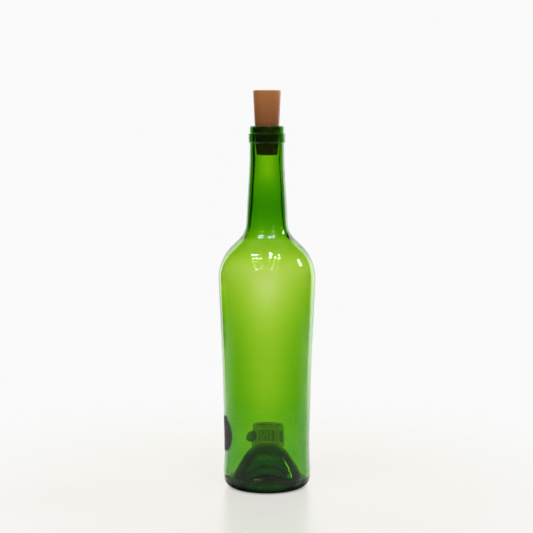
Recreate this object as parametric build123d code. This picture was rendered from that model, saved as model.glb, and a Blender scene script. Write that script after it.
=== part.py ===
from build123d import *
import math
import os

# Green 75 cl wine bottle with a tapered rubber stopper and three paper stickers.
# Millimetres. +Z is up, the origin is the centre of the bearing ring, and -Y is the front.
# Outline corners are (radius, height, corner round): a corner stands where two straight runs
# would meet, and its round is the arc that joins them.

# --- bottle: outside ---
bottle_height = 300.0
heel_radius = 36.2
heel_height = 14.0
heel_round = 8.6
waist_radius = 35.25
waist_height = 34.0
waist_round = 300.0
side_radius = 37.1
side_height = 106.0
side_round = 1200.0
shoulder_radius = 41.05
shoulder_height = 190.15
shoulder_round = 38.5
neck_root_radius = 17.45
neck_root_height = 212.2
neck_root_round = 19.3
neck_middle_radius = 14.3
neck_middle_height = 268.0
neck_radius = 14.05

# --- bottle: finish, the ringed top of the neck ---
collar_radius = 15.05
collar_bottom = 286.2
collar_top = 294.0
groove_radius = 13.7
lip_radius = 14.25
lip_bottom = 294.7
lip_round = 1.5
edge_round = 0.45

# --- bottle: inside, where the blown glass is thinnest at the shoulder and thickest at the heel ---
bore_widening = 0.6
inner_neck_radius = 12.1
inner_neck_height = 238.0
inner_root_radius = 14.45
inner_root_height = 212.5
inner_root_round = 17.0
inner_shoulder_radius = 39.7
inner_shoulder_height = 188.5
inner_shoulder_round = 36.9
side_wall = 2.1
waist_wall = 2.6
heel_wall = 2.9

# --- bottle: the punt, pushed up into the base ---
punt_outside_height = 27.0
punt_inside_height = 35.0
punt_outside_crown = 8.0
punt_inside_crown = 13.0
punt_foot_radius = 29.6
punt_foot_height = 9.2
bearing_inner_radius = 25.5
valley_height = 7.0

# --- stopper ---
stopper_bottom = 276.4
stopper_top = 329.0
stopper_bottom_radius = 8.95
stopper_top_radius = 11.45
stopper_clearance = 0.06
seat_height = 298.8

# --- stickers ---
paper = 0.15
label_width = 29.9
label_height = 20.0
label_centre = (0.8, 35.0)
label_corner = 0.8
lap = 0.4
dot_radius = 4.9
dot_centre = (-14.45, 34.6)
round_sticker_radius = 14.8
round_sticker_height = 46.0
round_sticker_turn = 101.5

# --- raised pips round the heel, in the place of mould marks ---
pip_radius = 0.7
pip_depth = 0.25
pip_height = 10.8
pip_count = 12
pip_first_azimuth = -161.0
pip_step = 4.1


def stopper_radius(height):
    """Radius of the stopper's straight taper at a height."""
    share = (height - stopper_bottom) / (stopper_top - stopper_bottom)
    return stopper_bottom_radius + share * (stopper_top_radius - stopper_bottom_radius)


def turned(corners):
    """Solid of revolution about Z of the outline with these corners, closed along the axis."""
    points = [(radius, 0, height) for radius, height, _ in corners]
    rounds = [corner_round for _, _, corner_round in corners[1:-1]]
    outline = FilletPolyline(*points, radius=rounds)
    closing = Line(points[-1], points[0])
    return revolve(make_face([*outline.edges(), closing]), Axis.Z)


def outside_corners():
    """Outside of the glass: punt, heel, body, shoulder, neck and the rings of the finish."""
    base = [
        (0, punt_outside_height, 0),
        (punt_outside_crown, punt_outside_height, 13.0),
        (bearing_inner_radius, 0, 1.5),
        (heel_radius, 0, heel_round),
    ]
    body = [
        (heel_radius, heel_height, 40.0),
        (waist_radius, waist_height, waist_round),
        (side_radius, side_height, side_round),
        (shoulder_radius, shoulder_height, shoulder_round),
    ]
    neck = [
        (neck_root_radius, neck_root_height, neck_root_round),
        (neck_middle_radius, neck_middle_height, 200.0),
        (neck_radius, collar_bottom, edge_round),
    ]
    finish = [
        (collar_radius, collar_bottom, edge_round),
        (collar_radius, collar_top, edge_round),
        (groove_radius, collar_top, 0.2),
        (groove_radius, lip_bottom, 0.2),
        (lip_radius, lip_bottom, 0.2),
        (lip_radius, bottle_height, lip_round),
    ]
    return base + body + neck + finish


def inside_corners():
    """Inside of the glass: mouth, neck, shoulder, body and the dome over the punt."""
    mouth_radius = stopper_radius(seat_height) + stopper_clearance
    neck = [
        (mouth_radius, bottle_height, 1.2),
        (mouth_radius + bore_widening, neck_middle_height, 100.0),
        (inner_neck_radius, inner_neck_height, 150.0),
        (inner_root_radius, inner_root_height, inner_root_round),
    ]
    body = [
        (inner_shoulder_radius, inner_shoulder_height, inner_shoulder_round),
        (side_radius - side_wall, side_height, side_round),
        (waist_radius - waist_wall, waist_height, waist_round / 2),
    ]
    base = [
        (heel_radius - heel_wall, valley_height, 1.5),
        (punt_foot_radius, punt_foot_height, 6.0),
        (punt_inside_crown, punt_inside_height, 22.0),
        (0, punt_inside_height, 0),
    ]
    return neck + body + base


def bottle():
    """The glass, one piece, with its row of pips on the heel."""
    glass = turned(outside_corners() + inside_corners())
    for i in range(pip_count):
        azimuth = math.radians(pip_first_azimuth + i * pip_step)
        reach = heel_radius - pip_depth
        glass += Pos(reach * math.cos(azimuth), reach * math.sin(azimuth), pip_height) * Sphere(pip_radius)
    return glass


def stopper():
    """Plain tapered bung, a little rounded at both ends."""
    return turned([
        (0, stopper_bottom, 0),
        (stopper_bottom_radius, stopper_bottom, 0.9),
        (stopper_top_radius, stopper_top, 1.0),
        (0, stopper_top, 0),
    ])


def lower_body(layers):
    """The bottle's lower body, filled in, and grown outwards by some layers of paper."""
    grow = layers * paper
    return turned([
        (0, heel_height, 0),
        (heel_radius + grow, heel_height, 0),
        (waist_radius + grow, waist_height, waist_round),
        (side_radius + grow, side_height, 0),
        (0, side_height, 0),
    ])


def outwards(outline, centre):
    """Flat outline turned to face +Y at a centre (x, z), and extruded outwards from the axis."""
    face = Pos(centre[0], 0, centre[1]) * Rot(90, 0, 0) * outline
    return extrude(face, amount=-60)


def dot_sticker():
    """Small round sticker on the back, on the glass, with one edge under the label."""
    return (lower_body(1) - lower_body(0)) & outwards(Circle(dot_radius), dot_centre)


def barcode_label():
    """Oblong label on the back, stuck on the glass and over the edge of the small dot."""
    footprint = outwards(RectangleRounded(label_width, label_height, label_corner), label_centre)
    bump = lower_body(2) & outwards(Circle(dot_radius + lap), dot_centre)
    return ((lower_body(1) + bump) - lower_body(0) - dot_sticker()) & footprint


def round_sticker():
    """Large round sticker on the left side."""
    sticker = (lower_body(1) - lower_body(0)) & outwards(Circle(round_sticker_radius), (0, round_sticker_height))
    return Rot(0, 0, round_sticker_turn) * sticker


nodes = {
    "bottle": bottle(),
    "stopper": stopper(),
    "barcode_label": barcode_label(),
    "dot_sticker": dot_sticker(),
    "round_sticker": round_sticker(),
}

os.makedirs("parts", exist_ok=True)
for name, shape in nodes.items():
    export_step(shape, f"parts/{name}.step")

cavity = turned([(0, bottle_height, 0)] + inside_corners()[:-1] + [(0, punt_inside_height, 0)])
print("brimful volume, ml:", round(cavity.volume / 1000, 1))
print("glass weight, g:", round(nodes["bottle"].volume / 1000 * 2.5, 1))
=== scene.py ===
import math

import bmesh
import bpy
from mathutils import Matrix, Vector, noise


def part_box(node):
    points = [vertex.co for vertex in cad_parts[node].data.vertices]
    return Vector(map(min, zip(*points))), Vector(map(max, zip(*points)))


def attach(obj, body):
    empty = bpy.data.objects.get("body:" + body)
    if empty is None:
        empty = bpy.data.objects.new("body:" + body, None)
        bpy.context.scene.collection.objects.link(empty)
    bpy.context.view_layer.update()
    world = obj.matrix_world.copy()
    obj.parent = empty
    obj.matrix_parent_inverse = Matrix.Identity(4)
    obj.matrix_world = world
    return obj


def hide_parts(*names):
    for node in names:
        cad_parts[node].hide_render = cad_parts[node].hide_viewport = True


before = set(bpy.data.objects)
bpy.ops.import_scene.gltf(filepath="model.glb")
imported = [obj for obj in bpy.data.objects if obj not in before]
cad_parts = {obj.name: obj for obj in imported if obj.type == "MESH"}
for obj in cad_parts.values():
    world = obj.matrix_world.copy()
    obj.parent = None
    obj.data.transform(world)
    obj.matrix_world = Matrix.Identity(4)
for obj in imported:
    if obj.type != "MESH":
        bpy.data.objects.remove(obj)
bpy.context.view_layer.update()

# A green 75 cl wine bottle with a tapered stopper, standing on a pale floor.
# Metres; outlines are written in millimetres and scaled by MM where the meshes are made.
MM = 0.001
TURN = 2 * math.pi

bottle_low, bottle_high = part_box("bottle")
stopper_low, stopper_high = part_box("stopper")
HEIGHT = bottle_high.z / MM
STOPPER_BOTTOM = stopper_low.z / MM
STOPPER_TOP = stopper_high.z / MM

# ---------------------------------------------------------------- camera
CAMERA_PLACE = (-0.0004, -1.19385, 0.30073)
CAMERA_TILT = 5.5735
CAMERA_SENSOR = 36.0
CAMERA_LENS = 97.938


def make_camera():
    """Camera in front of the bottle, level with its mouth and tilted a few degrees down."""
    data = bpy.data.cameras.new("camera")
    data.sensor_width = CAMERA_SENSOR
    data.lens = CAMERA_LENS
    data.clip_end = 20
    camera = bpy.data.objects.new("camera", data)
    bpy.context.scene.collection.objects.link(camera)
    camera.location = CAMERA_PLACE
    camera.rotation_euler = (math.radians(90 - CAMERA_TILT), 0, 0)
    bpy.context.scene.camera = camera


make_camera()


# ---------------------------------------------------------------- node helpers
class Nodes:
    """Short hand for building a material's node tree."""

    def __init__(self, name, world=False):
        self.material = (bpy.data.worlds if world else bpy.data.materials).new(name)
        self.material.use_nodes = True
        self.tree = self.material.node_tree
        self.tree.nodes.clear()
        self.output = self.add("ShaderNodeOutputWorld" if world else "ShaderNodeOutputMaterial")

    def add(self, kind, inputs=None, **settings):
        node = self.tree.nodes.new(kind)
        for name, value in settings.items():
            setattr(node, name, value)
        for name, value in (inputs or {}).items():
            if isinstance(value, bpy.types.NodeSocket):
                self.tree.links.new(value, node.inputs[name])
            else:
                node.inputs[name].default_value = value
        return node

    def math(self, operation, a, b=0.0, c=0.0):
        node = self.add("ShaderNodeMath", operation=operation)
        for i, value in enumerate((a, b, c)):
            if isinstance(value, bpy.types.NodeSocket):
                self.tree.links.new(value, node.inputs[i])
            else:
                node.inputs[i].default_value = value
        return node.outputs[0]

    def mix(self, share, a, b):
        node = self.add("ShaderNodeMix", data_type="RGBA")
        for i, value in ((0, share), (6, a), (7, b)):
            if isinstance(value, bpy.types.NodeSocket):
                self.tree.links.new(value, node.inputs[i])
            else:
                node.inputs[i].default_value = value
        return node.outputs[2]

    def ramp(self, share, low, high, to_low=0.0, to_high=1.0):
        inputs = {"Value": share, "From Min": low, "From Max": high, "To Min": to_low, "To Max": to_high}
        return self.add("ShaderNodeMapRange", inputs).outputs[0]

    def place(self):
        """Place on the piece, in metres in its own frame."""
        return self.add("ShaderNodeTexCoord").outputs["Object"]

    def stretched(self, scale):
        return self.add("ShaderNodeMapping", {"Vector": self.place(), "Scale": scale}).outputs[0]

    def noise(self, vector, scale, detail=2.0):
        inputs = {"Vector": vector, "Scale": scale, "Detail": detail}
        return self.add("ShaderNodeTexNoise", inputs).outputs[0]


def linear(red, green, blue):
    """Linear colour, with alpha, of an sRGB one given as 0 to 255."""
    return tuple(((c / 255 + 0.055) / 1.055) ** 2.4 for c in (red, green, blue)) + (1.0,)


def cosine(degrees):
    return math.cos(math.radians(degrees))


# ---------------------------------------------------------------- materials
# Bottle glass. The stipple is on the bearing ring, and fades out between two heights in metres.
GLASS_IOR = 1.52
GLASS_TINT = (0.787, 0.915, 0.267, 1)
GLASS_DENSITY = 1500.0
STIPPLE_TOP = 0.0012
STIPPLE_FULL = 0.0004


def glass_material():
    """Bottle green glass, tinted in its volume, with moulding ripple and a stippled bearing ring."""
    m = Nodes("green_glass")
    height = m.add("ShaderNodeSeparateXYZ", {"Vector": m.place()}).outputs["Z"]
    ripple = m.noise(m.stretched((1, 1, 0.25)), 90, 1.0)
    orange_peel = m.noise(m.place(), 330, 2.0)
    dimples = m.add("ShaderNodeTexVoronoi", {"Vector": m.place(), "Scale": 900}).outputs["Distance"]
    ring = m.ramp(height, STIPPLE_TOP, STIPPLE_FULL)
    relief = m.math("ADD", m.math("MULTIPLY", ripple, 0.6), m.math("MULTIPLY", orange_peel, 0.16))
    stipple = m.math("MULTIPLY", dimples, ring)
    relief = m.math("ADD", relief, m.math("MULTIPLY", stipple, 1.5))
    bump = m.add("ShaderNodeBump", {"Strength": 0.35, "Distance": 0.0004, "Height": relief})
    haze = m.ramp(m.noise(m.place(), 35, 3.0), 0.45, 0.75, 0.0, 0.035)
    surface = m.add("ShaderNodeBsdfPrincipled", {
        "Base Color": (1, 1, 1, 1),
        "IOR": GLASS_IOR,
        "Transmission Weight": 1.0,
        "Roughness": m.math("ADD", haze, m.math("MULTIPLY", ring, 0.3)),
        "Normal": bump.outputs[0],
    })
    m.tree.links.new(surface.outputs[0], m.output.inputs["Surface"])
    volume = m.add("ShaderNodeVolumeAbsorption", {"Color": GLASS_TINT, "Density": GLASS_DENSITY})
    m.tree.links.new(volume.outputs[0], m.output.inputs["Volume"])
    return m.material


# Heights in metres between which the stopper turns paler: painted light on its top, as if lit from above.
TOP_LIGHT_PAINT_FROM = 0.308
TOP_LIGHT_PAINT_TO = 0.3285


def rubber_material():
    """Smooth moulded brown rubber, with faint streaks down its length and a top painted paler as light
    from above.
    """
    m = Nodes("stopper_rubber")
    height = m.add("ShaderNodeSeparateXYZ", {"Vector": m.place()}).outputs["Z"]
    cloud = m.noise(m.stretched((1, 1, 0.3)), 110, 3.0)
    colour = m.mix(m.ramp(cloud, 0.35, 0.65), linear(172, 101, 53), linear(183, 112, 63))
    # Painted light: the stopper's top is painted paler where the light from above falls.
    colour = m.mix(m.ramp(height, TOP_LIGHT_PAINT_FROM, TOP_LIGHT_PAINT_TO), colour, linear(218, 140, 78))
    grain = m.noise(m.place(), 2500, 3.0)
    bump = m.add("ShaderNodeBump", {"Strength": 0.15, "Distance": 0.0002, "Height": grain})
    surface = m.add("ShaderNodeBsdfPrincipled", {
        "Base Color": colour,
        "Roughness": m.ramp(grain, 0.3, 0.7, 0.34, 0.46),
        "Specular IOR Level": 0.7,
        "Normal": bump.outputs[0],
    })
    m.tree.links.new(surface.outputs[0], m.output.inputs["Surface"])
    return m.material


# Shares of the light that paper scatters through itself and lets straight through.
PAPER_BACKLIT = 0.7
PAPER_CLEAR = 0.36
INK = (28, 27, 30)


def paper_material(name, colour, roughness=0.8, printed=None):
    """Thin paper that lets some light through. The function printed gives where the ink is."""
    m = Nodes(name)
    fibre = m.noise(m.place(), 3000, 4.0)
    darker = tuple(c * 0.9 for c in colour[:3]) + (1,)
    tint = m.mix(m.ramp(fibre, 0.3, 0.7), darker, colour)
    if printed:
        tint = m.mix(printed(m), tint, linear(*INK))
    bump = m.add("ShaderNodeBump", {"Strength": 0.2, "Distance": 0.00005, "Height": fibre})
    front = m.add("ShaderNodeBsdfPrincipled", {
        "Base Color": tint,
        "Roughness": roughness,
        "Normal": bump.outputs[0],
    })
    behind = m.add("ShaderNodeBsdfTranslucent", {"Color": tint, "Normal": bump.outputs[0]})
    both = m.add("ShaderNodeMixShader", {"Fac": PAPER_BACKLIT, 1: front.outputs[0], 2: behind.outputs[0]})
    clear = m.add("ShaderNodeBsdfTransparent")
    thin = m.add("ShaderNodeMixShader", {"Fac": PAPER_CLEAR, 1: both.outputs[0], 2: clear.outputs[0]})
    m.tree.links.new(thin.outputs[0], m.output.inputs["Surface"])
    return m.material


# Radii on the floor, in metres. The floor glows in place of lamplight, and within the foot and heel radii
# its glow is cut out as a painted shadow under the bottle.
FOOT_SHADOW_RADIUS = 0.026
HEEL_SHADE_RADIUS = 0.036
FADE_FROM = 0.12
FADE_TO = 0.4
FLOOR_RADIUS = 0.42
FLOOR_GLOW = 0.64


def floor_material():
    """Glossy white table that fades into the backdrop. It glows as painted light in place of lamplight,
    with a painted shadow under the bottle and, for all rays but the camera's, painted shade on its front
    half.
    """
    m = Nodes("pale_floor")
    x, y, _ = m.add("ShaderNodeSeparateXYZ", {"Vector": m.place()}).outputs
    out = m.math("SQRT", m.math("ADD", m.math("MULTIPLY", x, x), m.math("MULTIPLY", y, y)))
    facing = m.math("DIVIDE", y, m.math("MAXIMUM", out, 0.001))
    # Painted shadow under the bottle, and painted shade that darkens from the back half to the front half,
    # for rays other than the camera's.
    outside_painted_shadow = m.ramp(out, HEEL_SHADE_RADIUS, HEEL_SHADE_RADIUS + 0.01)
    shade = m.math("MULTIPLY", m.ramp(facing, -1.0, 0.6, 0.4, 1.2), outside_painted_shadow)
    camera = m.add("ShaderNodeLightPath").outputs["Is Camera Ray"]
    painted_light_off_camera = m.math("MULTIPLY", shade, m.math("SUBTRACT", 1.0, camera))
    # Painted shadow under the bottle's foot, as the camera sees the floor.
    seen = m.math("MULTIPLY", camera, m.ramp(out, FOOT_SHADOW_RADIUS, FOOT_SHADOW_RADIUS + 0.008))
    # The floor's glow is painted light standing in for the lamps' light on the table.
    glow = m.math("MULTIPLY", m.math("ADD", painted_light_off_camera, seen), FLOOR_GLOW)
    tone = m.ramp(m.noise(m.place(), 3, 2.0), 0.3, 0.7)
    surface = m.add("ShaderNodeBsdfPrincipled", {
        "Base Color": m.mix(tone, (0.145, 0.143, 0.135, 1), (0.155, 0.153, 0.146, 1)),
        "Roughness": 0.3,
        "Specular IOR Level": 0.35,
        "Emission Color": (1, 0.985, 0.93, 1),
        "Emission Strength": glow,
    })
    clear = m.add("ShaderNodeBsdfTransparent")
    fading = {"Value": out, "From Min": FADE_FROM, "From Max": FADE_TO}
    fade = m.add("ShaderNodeMapRange", fading, interpolation_type="SMOOTHSTEP").outputs[0]
    both = m.add("ShaderNodeMixShader", {"Fac": fade, 1: surface.outputs[0], 2: clear.outputs[0]})
    m.tree.links.new(both.outputs[0], m.output.inputs["Surface"])
    return m.material


# ---------------------------------------------------------------- outlines
def rounded(corners, longest):
    """Points along straight runs joined by tangent arcs. A corner is (radius, height, corner round)."""
    points = [Vector(corners[0][:2])]
    for before, corner, after in zip(corners, corners[1:], corners[2:]):
        here = Vector(corner[:2])
        back = (Vector(before[:2]) - here).normalized()
        ahead = (Vector(after[:2]) - here).normalized()
        turn = math.pi - back.angle(ahead)
        tangent = corner[2] * math.tan(turn / 2)
        start = here + back * tangent
        centre = here + (back + ahead).normalized() * corner[2] / math.cos(turn / 2)
        steps = max(5, math.ceil(turn * corner[2] / longest), math.ceil(turn / 0.18))
        way = 1 if back.cross(ahead) < 0 else -1
        for i in range(steps + 1):
            spoke = start - centre
            spoke.rotate(Matrix.Rotation(way * turn * i / steps, 2))
            points.append(centre + spoke)
    points.append(Vector(corners[-1][:2]))
    filled = [points[0]]
    for point in points[1:]:
        run = point - filled[-1]
        pieces = max(1, math.ceil(run.length / longest))
        start = filled[-1]
        filled += [start + run * (i + 1) / pieces for i in range(pieces)]
    return filled


# Corners of the glass in mm, up the outside from the punt's top and then down the inside.
HEEL_RADIUS = 36.2
LIP_RADIUS = 14.25
LIP_ROUND = 1.5
MOUTH_RADIUS = 10.07
MOUTH_ROUND = 1.2
PUNT_OUTSIDE = [(0, 28.5, 0), (9, 28.5, 13), (25.5, 0, 1.5), (HEEL_RADIUS, 0, 8.6)]
BODY_OUTSIDE = [(HEEL_RADIUS, 14, 40), (35.25, 34, 300), (37.1, 106, 1200), (41.05, 190.15, 38.5)]
NECK_OUTSIDE = [(17.45, 212.2, 19.3), (14.3, 268, 200), (14.05, 286.2, 0.2)]
FINISH_OUTSIDE = [
    (15.05, 286.2, 0.75),
    (15.05, 294, 0.9),
    (13.7, 294, 0.25),
    (13.7, 294.7, 0.25),
    (LIP_RADIUS, 294.7, 0.25),
    (LIP_RADIUS, HEIGHT, LIP_ROUND),
]
NECK_INSIDE = [
    (MOUTH_RADIUS, HEIGHT, MOUTH_ROUND),
    (MOUTH_RADIUS + 0.6, 268, 100),
    (12.1, 238, 150),
    (14.45, 212.5, 17),
]
BODY_INSIDE = [(39.7, 188.5, 36.9), (35.0, 106, 1200), (32.65, 34, 150)]
PUNT_INSIDE = [(33.3, 7, 1.5), (29.6, 9.2, 6), (13, 35, 22), (0, 35, 0)]
OUTSIDE = PUNT_OUTSIDE + BODY_OUTSIDE + NECK_OUTSIDE + FINISH_OUTSIDE
INSIDE = NECK_INSIDE + BODY_INSIDE + PUNT_INSIDE
LONGEST_STEP = 3.0


# ---------------------------------------------------------------- meshes
def turned_mesh(name, outline, azimuths, shift=None):
    """Closed mesh of the outline turned about Z; its first and last points are on the axis."""
    mesh = bmesh.new()
    rings = []
    for row, (radius, height) in enumerate(outline):
        if radius < 1e-6:
            rings.append([mesh.verts.new((0, 0, height * MM))])
            continue
        ring = []
        for azimuth in azimuths:
            r, z = (radius, height) if shift is None else shift(row, azimuth, radius, height)
            ring.append(mesh.verts.new((r * math.cos(azimuth) * MM, r * math.sin(azimuth) * MM, z * MM)))
        rings.append(ring)
    count = len(azimuths)
    for low, high in zip(rings, rings[1:]):
        for i in range(count):
            j = (i + 1) % count
            if len(low) == 1:
                mesh.faces.new((low[0], high[j], high[i]))
            elif len(high) == 1:
                mesh.faces.new((low[i], low[j], high[0]))
            else:
                mesh.faces.new((low[i], low[j], high[j], high[i]))
    bmesh.ops.recalc_face_normals(mesh, faces=mesh.faces)
    data = bpy.data.meshes.new(name)
    mesh.to_mesh(data)
    mesh.free()
    for polygon in data.polygons:
        polygon.use_smooth = True
    piece = bpy.data.objects.new(name, data)
    bpy.context.scene.collection.objects.link(piece)
    return piece


# Row of pips round the heel, by azimuth in degrees and by height, radius and depth in mm.
PIP_START = -161
PIP_STEP = 4.1
PIP_COUNT = 12
PIP_HEIGHT = 10.8
PIP_RADIUS = 0.8
PIP_DEPTH = 0.6
SEAM_DEPTH = 0.12
SEAM_WIDTH = 0.7


def bottle_azimuths():
    """Even steps round the bottle, closer at the two mould seams and along the row of heel pips."""
    pip_end = PIP_START + PIP_STEP * PIP_COUNT
    pip_start = PIP_START - 2
    even = [i * 2.25 - 180 for i in range(160)]
    degrees = [d for d in even if not pip_start < d < pip_end]
    degrees += [pip_start + 0.41 * i for i in range(int((pip_end - pip_start) / 0.41) + 1)]
    degrees += [-179.2, -179.6, 179.2, 179.6, -0.8, -0.4, 0.4, 0.8]
    return [math.radians(d) for d in sorted(degrees)]


def seam(azimuth):
    """Height of the ridge that the mould's halves leave at -X and +X."""
    away = abs(math.degrees(azimuth))
    return SEAM_DEPTH * max(0, 1 - min(away, 180 - away) / SEAM_WIDTH)


def pip(azimuth, height):
    """How far the nearest pip stands out of the glass."""
    number = round((math.degrees(azimuth) - PIP_START) / PIP_STEP)
    if not 0 <= number < PIP_COUNT or abs(height - PIP_HEIGHT) > PIP_RADIUS:
        return 0
    along = math.radians(math.degrees(azimuth) - PIP_START - PIP_STEP * number) * HEEL_RADIUS
    from_centre = (along ** 2 + (height - PIP_HEIGHT) ** 2) / PIP_RADIUS ** 2
    return PIP_DEPTH * math.sqrt(max(0, 1 - from_centre))


def thicker(azimuth, height):
    """How much thicker the blown wall is than drawn, in mm. It is thin at the shoulder and the mouth."""
    stripes = 0.3 * (1 - math.cos(4 * azimuth)) * smooth(height, 48, 62) * smooth(height, 190, 165)
    edges = 0.7 * math.cos(azimuth) ** 6 * smooth(height, 115, 135) * smooth(height, 190, 150)
    low = 0.85 * smooth(height, 80, 48) * smooth(height, 9, 20)
    shoulder = 0.5 * smooth(height, 112, 168) * smooth(height, 208, 186)
    throat = (0.8 + 0.7 * math.sin(azimuth) ** 2) * math.exp(-((height - 230) / 17) ** 2)
    mouth = 0.85 * math.sin(azimuth) ** 4 * smooth(height, 250, 262) * smooth(height, 284, 274)
    return stripes + edges + low - shoulder + throat - mouth


def smooth(value, low, high):
    """Share from 0 to 1 between low and high, with an eased start and end."""
    share = min(max((value - low) / (high - low), 0), 1)
    return share * share * (3 - 2 * share)


def with_rows(outline, low, high, step):
    """The outline with its points closer together between two heights."""
    points = [outline[0]]
    for point in outline[1:]:
        start = points[-1]
        if max(start.y, point.y) > low and min(start.y, point.y) < high:
            pieces = math.ceil((point - start).length / step)
            points += [start.lerp(point, (i + 1) / pieces) for i in range(pieces)]
        else:
            points.append(point)
    return points


def make_bottle():
    """The glass as one closed mesh, with uneven inner walls, mould seams and heel pips."""
    outside = rounded(OUTSIDE + [(MOUTH_RADIUS + MOUTH_ROUND, HEIGHT, 0)], LONGEST_STEP)
    heel = next(i for i, point in enumerate(outside) if point.x > 34)
    outside = outside[:heel] + with_rows(outside[heel:], PIP_HEIGHT - 1, PIP_HEIGHT + 1, 0.25)
    inside = rounded([(LIP_RADIUS - LIP_ROUND, HEIGHT, 0)] + INSIDE, LONGEST_STEP)
    outline = outside[:-1] + inside[1:]
    mouth_row = len(outside) - 2
    valley_row = min(range(mouth_row + 1, len(outline)), key=lambda row: outline[row].y)

    def shift(row, azimuth, radius, height):
        around = Vector((math.cos(azimuth), math.sin(azimuth), height / 90))
        if row > valley_row:
            return radius, height
        if row > mouth_row:
            waves = 0.18 * noise.noise(around * 1.7 + Vector((9, 0, 0)))
            below_mouth = smooth(height, HEIGHT - 20, HEIGHT - 50)
            return radius - thicker(azimuth, height) + below_mouth * waves, height
        relief = 0
        if row > heel:
            relief = pip(azimuth, height) + seam(azimuth) * smooth(height, HEIGHT - 1, HEIGHT - 8)
        return radius - 0.12 - 0.08 * (0.5 + noise.noise(around * 1.3)) + relief, height

    piece = turned_mesh("glass_bottle", [tuple(p) for p in outline], bottle_azimuths(), shift)
    piece.data.materials.append(glass_material())
    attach(piece, "bottle")
    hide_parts("bottle")


STOPPER_OUTLINE = [
    (0, STOPPER_BOTTOM, 0),
    (8.95, STOPPER_BOTTOM, 0.9),
    (11.4, STOPPER_TOP, 1.0),
    (0, STOPPER_TOP, 0),
]


def make_stopper():
    """Tapered bung, rounded a little at both ends."""
    outline = rounded(STOPPER_OUTLINE, LONGEST_STEP / 2)
    azimuths = [TURN * i / 96 for i in range(96)]
    piece = turned_mesh("rubber_stopper", [tuple(p) for p in outline], azimuths)
    piece.data.materials.append(rubber_material())
    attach(piece, "stopper")
    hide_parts("stopper")


def dress(node, material):
    """Give a CAD piece its material."""
    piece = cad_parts[node]
    piece.data.materials.clear()
    piece.data.materials.append(material)


LABEL_RADIUS = 35.4
BAR_WIDTH = 0.42
MARK_WIDTH = 0.5
LINE_HEIGHT = 1.7


def label_print(m):
    """1 where there is ink: bars in the middle, and rows of short marks above and below them."""
    x, y, z = m.add("ShaderNodeSeparateXYZ", {"Vector": m.place()}).outputs
    along = m.math("MULTIPLY", m.math("ARCTAN2", x, y), LABEL_RADIUS)
    height = m.math("MULTIPLY", z, 1000)

    def inside(value, low, high):
        return m.math("MULTIPLY", m.math("GREATER_THAN", value, low), m.math("LESS_THAN", value, high))

    def cells(width, rows, share):
        vector = m.add("ShaderNodeCombineXYZ", {
            0: m.math("FLOOR", m.math("DIVIDE", along, width)),
            1: m.math("FLOOR", rows),
        }).outputs[0]
        pick = m.add("ShaderNodeTexWhiteNoise", {"Vector": vector}).outputs[0]
        return m.math("LESS_THAN", pick, share)

    bars = m.math("MULTIPLY", inside(height, 29.6, 39), inside(along, -9, 14.6))
    bars = m.math("MULTIPLY", bars, cells(BAR_WIDTH, 0.5, 0.55))
    row = m.math("DIVIDE", height, LINE_HEIGHT)
    line = m.math("LESS_THAN", m.math("FRACT", row), 0.55)
    marks = m.math("MULTIPLY", cells(MARK_WIDTH, row, 0.6), line)
    marks = m.math("MULTIPLY", marks, inside(along, -10.5, 12))
    above_and_below = m.math("ADD", inside(height, 40.2, 44), inside(height, 26, 28.6))
    marks = m.math("MULTIPLY", marks, above_and_below)
    return m.math("MULTIPLY", m.math("MAXIMUM", bars, marks), 0.75)


def make_stickers():
    dress("barcode_label", paper_material("label_paper", linear(235, 232, 222), printed=label_print))
    dress("dot_sticker", paper_material("dot_paper", linear(150, 170, 190)))
    dress("round_sticker", paper_material("round_paper", linear(165, 150, 175), roughness=0.3))


make_bottle()
make_stopper()
make_stickers()


# ---------------------------------------------------------------- stage and light
# Brightness of the studio's parts, as the glass sees them.
WHITE = 0.955
ROOM = 0.02
TABLE_IN_FRONT = 0.11
CEILING = 0.22
LEFT_BOX = 0.8
RIGHT_BOX = 1.1
LAMP_DISTANCE = 2.2
SHOULDER_HEIGHT = 0.19

# Name, azimuth and elevation, width and height as seen from the shoulder, all in degrees, and strength.
LAMPS = (
    ("lamp_left_1", -62, 58, (4, 2.5), 50),
    ("lamp_left_2", -50, 61, (4, 2.5), 50),
    ("lamp_left_3", -36, 63, (4, 2.5), 50),
    ("lamp_left_4", -50, 51, (4, 2.5), 50),
    ("lamp_left_5", -36, 53, (4, 2.5), 50),
    ("lamp_left_6", -24, 54, (3, 2), 50),
    ("lamp_right_1", 21, 67, (6, 4), 50),
    ("lamp_right_2", 16, 60, (4, 2.5), 50),
    ("lamp_right_3", 32, 58, (4, 2.5), 50),
    ("lamp_right_4", 54, 60, (4, 3), 50),
    ("lamp_right_5", 46, 53, (4, 2), 50),
    ("strobe_right", 101, 26, (3, 13), 60),
    ("far_left_1", -14, 40, (1.6, 1.2), 40),
    ("far_left_2", -17, 33, (1.6, 1.2), 40),
    ("far_left_3", -28, 27, (1.6, 1.2), 40),
    ("far_left_4", -36, 35, (2.2, 1.4), 40),
    ("far_right_1", 12, 29, (1.6, 1.2), 40),
    ("far_right_2", 20, 39, (2.2, 1.4), 40),
    ("far_right_3", 23, 26, (1.6, 1.2), 40),
    ("far_right_4", 30, 33, (2.2, 1.4), 40),
    ("far_right_5", 36, 14, (1.2, 1.0), 40),
)


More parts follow.
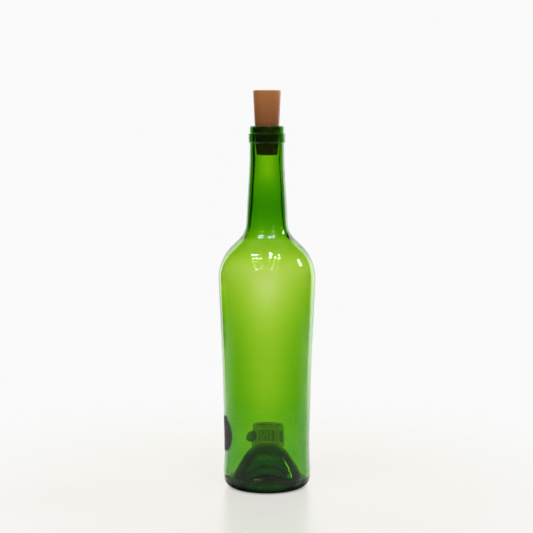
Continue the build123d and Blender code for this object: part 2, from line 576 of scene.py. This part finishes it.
def make_world():
    """White backdrop with a softbox at each side, a white table, a dark room and a grey ceiling."""
    m = Nodes("studio", world=True)
    way = m.add("ShaderNodeTexCoord").outputs["Generated"]
    x, y, z = m.add("ShaderNodeSeparateXYZ", {"Vector": way}).outputs
    level = m.math("SQRT", m.math("ADD", m.math("MULTIPLY", x, x), m.math("MULTIPLY", y, y)))
    facing = m.math("DIVIDE", y, m.math("MAXIMUM", level, 0.001))

    def blend(share, a, b):
        return m.add("ShaderNodeMix", {"Factor": share, 2: a, 3: b}, data_type="FLOAT").outputs[0]

    right = m.ramp(x, -0.05, 0.05)
    left_edge = m.ramp(z, 0.15, 0.3, cosine(37), cosine(41))
    right_edge = m.ramp(z, 0.05, 0.3, cosine(50), cosine(41))
    edge = blend(right, left_edge, right_edge)
    inside = m.ramp(m.math("SUBTRACT", facing, edge), -0.03, 0.03)
    front = m.ramp(z, -0.25, -0.55, TABLE_IN_FRONT, 0.75)
    table = m.ramp(facing, cosine(95), cosine(45), front, WHITE)
    light = blend(m.ramp(z, -0.17, -0.205), blend(inside, ROOM, WHITE), table)
    light = blend(m.ramp(z, 0.47, 0.7), light, ROOM)
    light = blend(m.ramp(z, 0.77, 0.88), light, CEILING)
    sides = m.math("MULTIPLY", inside, m.ramp(facing, cosine(20), cosine(32)))
    rise = m.math("MULTIPLY", m.ramp(z, -0.22, -0.17, 0.15, 1.0), m.ramp(z, 0.56, 0.45))
    boxes = m.math("MULTIPLY", m.math("MULTIPLY", sides, rise), blend(right, LEFT_BOX, RIGHT_BOX))
    reflected = m.add("ShaderNodeLightPath").outputs["Is Reflection Ray"]
    light = m.math("ADD", light, m.math("MULTIPLY", boxes, reflected))
    seen = m.add("ShaderNodeLightPath").outputs["Is Camera Ray"]
    background = m.add("ShaderNodeBackground", {
        "Color": (1, 1, 1, 1),
        "Strength": blend(seen, light, WHITE),
    })
    m.tree.links.new(background.outputs[0], m.output.inputs["Surface"])
    bpy.context.scene.world = m.material


def make_lamp(name, azimuth, elevation, size, light):
    """Flat lamp seen from the shoulder in one direction. Azimuth 0 is the front, and +X is positive."""
    turn = math.radians(azimuth)
    lift = math.radians(elevation)
    way = Vector((math.sin(turn) * math.cos(lift), -math.cos(turn) * math.cos(lift), math.sin(lift)))
    data = bpy.data.lights.new(name, "AREA")
    data.shape = "RECTANGLE"
    data.size, data.size_y = (2 * LAMP_DISTANCE * math.tan(math.radians(s / 2)) for s in size)
    data.energy = light * math.pi * data.size * data.size_y
    lamp = bpy.data.objects.new(name, data)
    bpy.context.scene.collection.objects.link(lamp)
    lamp.location = way * LAMP_DISTANCE + Vector((0, 0, SHOULDER_HEIGHT))
    lamp.rotation_euler = way.to_track_quat("Z", "Y").to_euler()
    lamp.visible_camera = False


def make_floor():
    """Round disc that the bottle stands on."""
    mesh = bmesh.new()
    for i in range(64):
        mesh.verts.new((FLOOR_RADIUS * math.cos(TURN * i / 64), FLOOR_RADIUS * math.sin(TURN * i / 64), 0))
    mesh.faces.new(mesh.verts)
    data = bpy.data.meshes.new("floor")
    mesh.to_mesh(data)
    mesh.free()
    floor = bpy.data.objects.new("floor", data)
    bpy.context.scene.collection.objects.link(floor)
    floor.data.materials.append(floor_material())


make_floor()
make_world()
for lamp in LAMPS:
    make_lamp(*lamp)
bpy.context.scene.view_settings.view_transform = "Standard"
bpy.context.scene.cycles.transparent_max_bounces = 16
bpy.context.scene.cycles.max_bounces = 24
bpy.context.scene.cycles.transmission_bounces = 24
